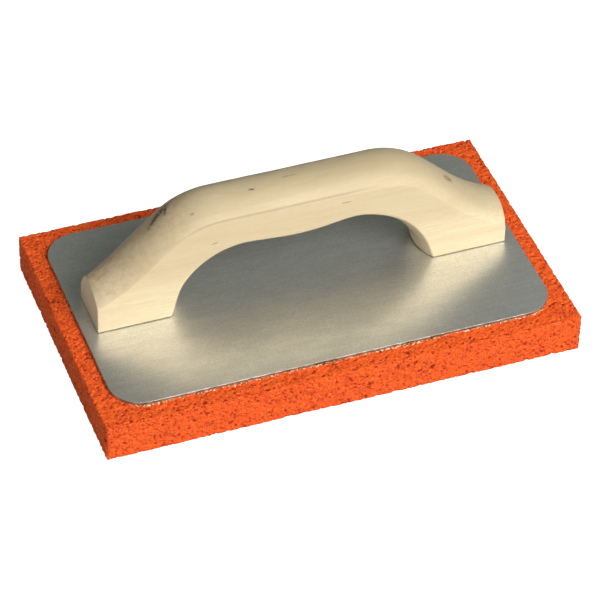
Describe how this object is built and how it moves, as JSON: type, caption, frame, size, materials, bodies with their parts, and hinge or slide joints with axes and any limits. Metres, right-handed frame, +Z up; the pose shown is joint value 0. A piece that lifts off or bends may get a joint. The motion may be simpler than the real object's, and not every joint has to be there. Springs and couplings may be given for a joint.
{
  "type": "sponge rubber hand float",
  "caption": "Hand float with a thick rectangular sponge rubber pad glued under a thin metal plate, and an arched wooden handle screwed to the plate from below.",
  "frame": {"origin": "middle of the sponge pad's working face, the lowest face of the float", "axes": "+X along the length of the float and of the grip, +Z up from the working face towards the grip, +Y across the float"},
  "size_m": [0.2554, 0.1536, 0.0866],
  "materials": {
    "sponge_rubber": "open-cell sponge, matt",
    "adhesive": "dried contact adhesive",
    "plate_metal": "satin mill finish",
    "handle_wood": "sanded, unvarnished",
    "screw_steel": "zinc plated"
  },
  "bodies": {
    "root": {"sponge_pad": "sponge_rubber", "adhesive_film": "adhesive", "backing_plate": "plate_metal", "handle": "handle_wood", "screw_left_outer": "screw_steel", "screw_left_inner": "screw_steel", "screw_right_inner": "screw_steel", "screw_right_outer": "screw_steel"}
  },
  "joints": []
}
